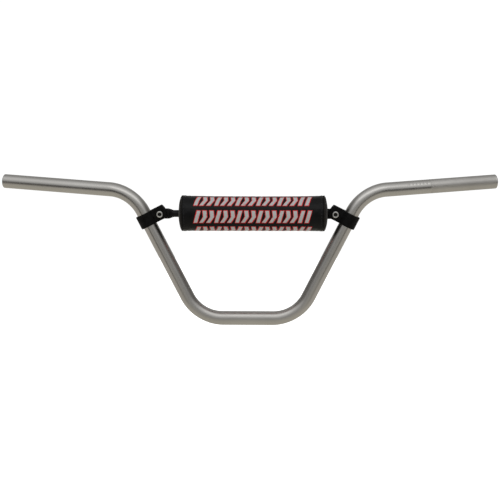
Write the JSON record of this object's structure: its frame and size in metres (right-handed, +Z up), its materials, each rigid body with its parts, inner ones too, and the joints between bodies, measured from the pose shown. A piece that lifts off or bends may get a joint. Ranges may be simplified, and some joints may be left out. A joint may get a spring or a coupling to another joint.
{
  "type": "motorcycle handlebar",
  "caption": "High-rise motorcycle handlebar of bent aluminium tube with swept-back arms, a clamped crossbar and a round foam crossbar pad in a wrap-around cover.",
  "frame": {"origin": "centre of the straight section that the bike's handlebar clamps hold, on the tube's axis", "axes": "+X along the bar to the rider's left hand, +Y back towards the rider, +Z up; the legs lie in the XZ plane"},
  "size_m": [0.7864, 0.0831, 0.2349],
  "materials": {
    "bar_aluminium": "satin",
    "crossbar_black": "satin",
    "clamp_black": "matte",
    "zinc_steel": "satin",
    "nut_nylon": "satin",
    "pad_foam": "matte",
    "cover_vinyl": "satin",
    "panel_fabric": "matte",
    "piping_vinyl": "satin",
    "print_film": "satin",
    "seam_thread": "matte",
    "hook_loop": "matte"
  },
  "bodies": {
    "bar": {"handlebar_tube": "bar_aluminium", "crossbar": "crossbar_black", "left_clamp": "clamp_black", "right_clamp": "clamp_black", "left_clamp_bolt": "zinc_steel", "right_clamp_bolt": "zinc_steel", "left_nut_washer": "zinc_steel", "right_nut_washer": "zinc_steel", "left_clamp_nut": "zinc_steel", "right_clamp_nut": "zinc_steel", "left_nut_insert": "nut_nylon", "right_nut_insert": "nut_nylon"},
    "pad_core": {"pad_foam_core": "pad_foam"},
    "pad_cover": {"pad_cover": "cover_vinyl", "pad_left_end_panel": "panel_fabric", "pad_right_end_panel": "panel_fabric", "pad_left_piping": "piping_vinyl", "pad_right_piping": "piping_vinyl", "pad_left_seam_thread": "seam_thread", "pad_right_seam_thread": "seam_thread", "pad_print_film": "print_film", "pad_loop_tape": "hook_loop", "pad_flap_hem": "cover_vinyl"},
    "pad_flap": {"pad_closure_flap": "cover_vinyl", "pad_hook_tape": "hook_loop", "pad_flap_thread": "seam_thread"}
  },
  "joints": [
    {"name": "pad_slide", "type": "slide", "parent": "bar", "child": "pad_core", "axis": [-1, 0, 0], "range_m": [0, 0.017]},
    {"name": "pad_turn", "type": "hinge", "parent": "pad_core", "child": "pad_cover", "pos_m": [0, 0, 0.1663], "axis": [1, 0, 0], "continuous": true},
    {"name": "flap_open", "type": "hinge", "parent": "pad_cover", "child": "pad_flap", "pos_m": [0.0086, 0.02546, 0.181], "axis": [1, 0, 0], "range_deg": [0, 100]}
  ]
}
